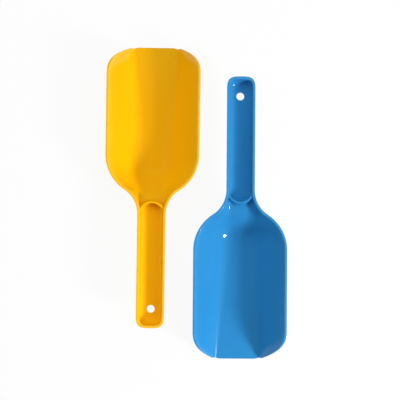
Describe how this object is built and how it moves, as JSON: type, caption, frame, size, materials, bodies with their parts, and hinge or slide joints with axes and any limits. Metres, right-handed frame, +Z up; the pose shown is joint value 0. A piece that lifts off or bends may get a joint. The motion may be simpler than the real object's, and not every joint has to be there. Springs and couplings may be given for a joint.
{
  "type": "sand shovel pair",
  "caption": "Sand shovels lying head to tail, each moulded with a trough blade, rounded shoulders, a hollow channel handle with a web at its root, and a hang hole.",
  "frame": {"origin": "on the surface that the shovels lie on, under the middle of the pair", "axes": "+Y along the shovels, towards the tip of the yellow blade; +Z up, out of the open side of the blades; +X towards the blue shovel"},
  "size_m": [0.1385, 0.2494, 0.026],
  "materials": {
    "yellow_plastic": "glossy injection-moulded plastic, coloured through",
    "blue_plastic": "glossy injection-moulded plastic, coloured through"
  },
  "bodies": {
    "yellow_shovel": {"yellow_shovel": "yellow_plastic"},
    "blue_shovel": {"blue_shovel": "blue_plastic"}
  },
  "joints": [
    {"name": "blue_shovel_lift", "type": "slide", "parent": "yellow_shovel", "child": "blue_shovel", "axis": [0, 0, 1], "range_m": [0, 0.12]}
  ]
}
